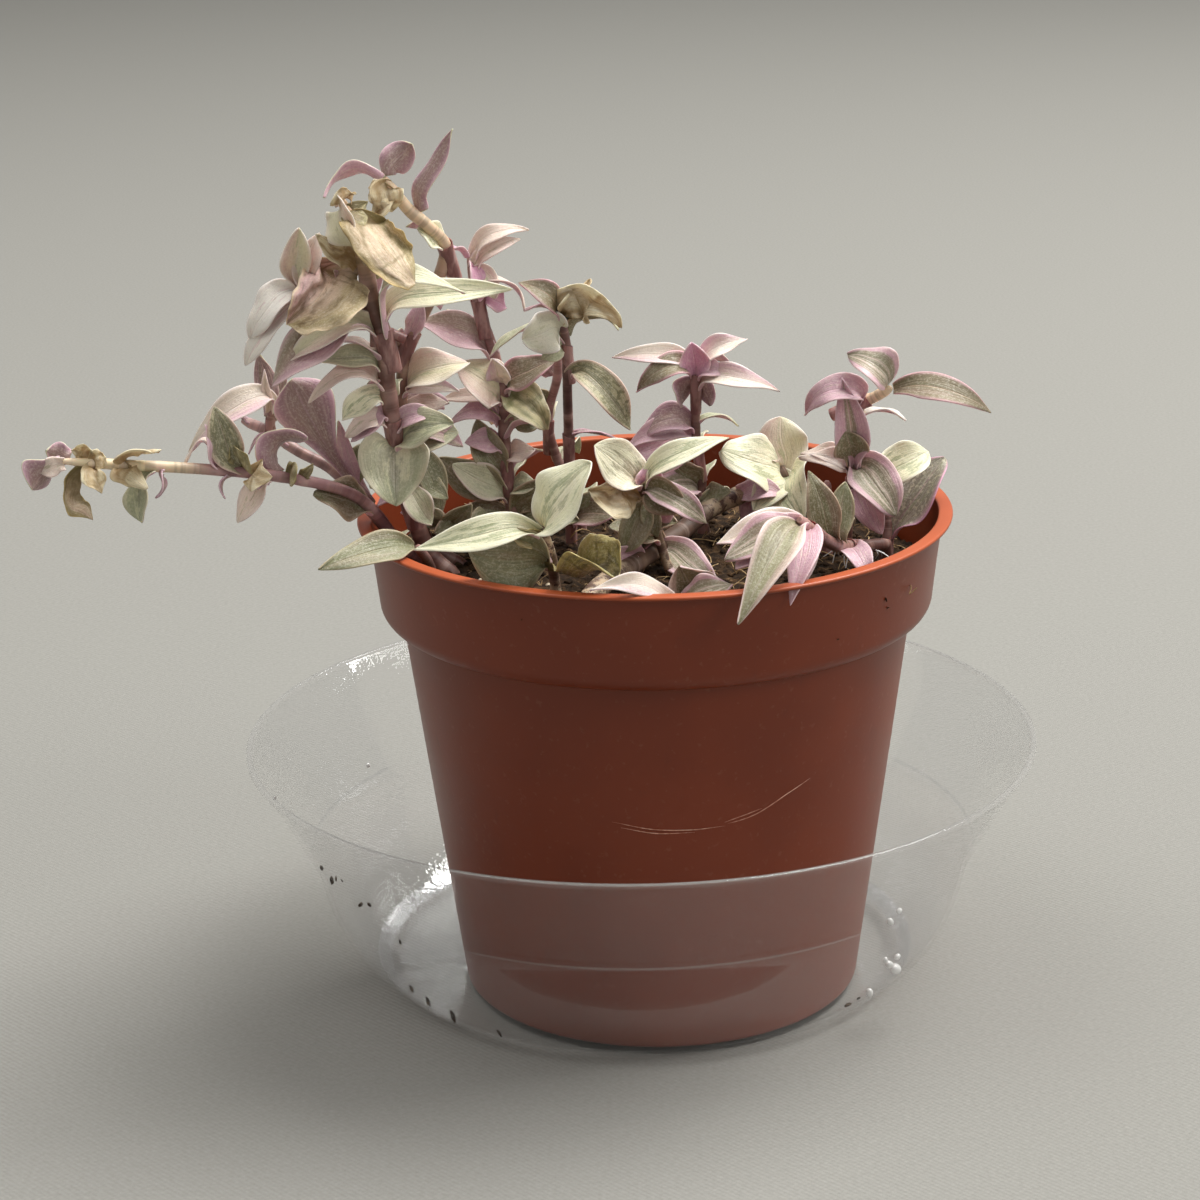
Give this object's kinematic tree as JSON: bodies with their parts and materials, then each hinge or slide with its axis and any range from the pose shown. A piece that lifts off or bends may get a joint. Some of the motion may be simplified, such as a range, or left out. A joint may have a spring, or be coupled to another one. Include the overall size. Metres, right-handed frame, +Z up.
{
  "type": "potted turtle vine",
  "caption": "Variegated turtle vine with upright and trailing shoots in a round plastic nursery pot, standing in a deep clear flared saucer.",
  "frame": {"origin": "centre of the saucer's flat underside, on the surface it stands on", "axes": "+Z up; -Y towards the front of the plant; +X to its right; the long trailing shoot points towards -X"},
  "size_m": [0.2004, 0.1656, 0.1807],
  "materials": {
    "pot": "satin terracotta-coloured plastic",
    "saucer": "clear thin formed plastic",
    "soil": "crumbly dark compost with tan fibres",
    "stem_purple": "smooth succulent purple-brown stem",
    "stem_brown": "cracked light-brown bark",
    "sage": "fine-veined green leaf",
    "cream": "cream and green variegated leaf",
    "blush": "pink and cream variegated leaf",
    "mauve": "mauve leaf underside",
    "plum": "purple leaf underside",
    "olive": "dark olive leaf with pink edge",
    "dried": "dry papery leaf"
  },
  "bodies": {
    "root": {"leaf_centre_long_cream": "cream", "leaf_centre_mottled": "sage", "leaf_dark_drooping_sage": "sage", "leaf_dark_left_blush": "blush", "leaf_dark_long_sage": "sage", "leaf_dark_right_dried": "dried", "leaf_front_broad_olive": "olive", "leaf_front_long_cream": "cream", "leaf_front_pale_cream": "cream", "leaf_leaning_arched_top": "mauve", "leaf_leaning_broad_blush": "blush", "leaf_leaning_round_sage": "sage", "leaf_leaning_upright_plum": "plum", "leaf_lying_hanging_front": "sage", "leaf_lying_right_olive": "olive", "leaf_lying_rim_olive": "olive", "leaf_magenta_low_sage": "sage", "leaf_magenta_top_blush": "blush", "leaf_magenta_white_blush": "blush", "leaf_main_dried_large": "dried", "leaf_main_dried_left": "dried", "leaf_main_heart_sage": "sage", "leaf_main_long_cream": "cream", "leaf_main_wide_cream": "cream", "leaf_right_folded_mauve": "mauve", "leaf_right_long_olive": "olive", "leaf_right_upper_olive": "olive", "leaf_rising_broad_plum": "plum", "leaf_rising_long_blush": "blush", "leaf_rosette_left_blush": "blush", "leaf_rosette_low_plum": "plum", "leaf_rosette_right_cream": "cream", "leaf_trailing_arched_plum": "plum", "leaf_trailing_hanging_sage": "sage", "leaf_trailing_left_rim": "olive", "leaf_trailing_paper_curl": "dried", "leaf_trailing_shoulder_olive": "olive", "leaf_trailing_tip_plum": "plum", "leaf_trailing_upright_sage": "sage", "leaf_woody_oval_cream": "cream", "leaf_woody_upright_blush": "blush", "leaf_woody_wide_cream": "cream", "pot": "pot", "saucer": "saucer", "soil": "soil", "stem_back": "stem_purple", "stem_centre": "stem_brown", "stem_dark": "stem_purple", "stem_front": "stem_purple", "stem_leaning": "stem_purple", "stem_lying": "stem_purple", "stem_magenta": "stem_purple", "stem_main": "stem_purple", "stem_right": "stem_purple", "stem_rising": "stem_purple", "stem_rosette": "stem_purple", "stem_trailing": "stem_purple", "stem_woody": "stem_brown"}
  },
  "joints": []
}
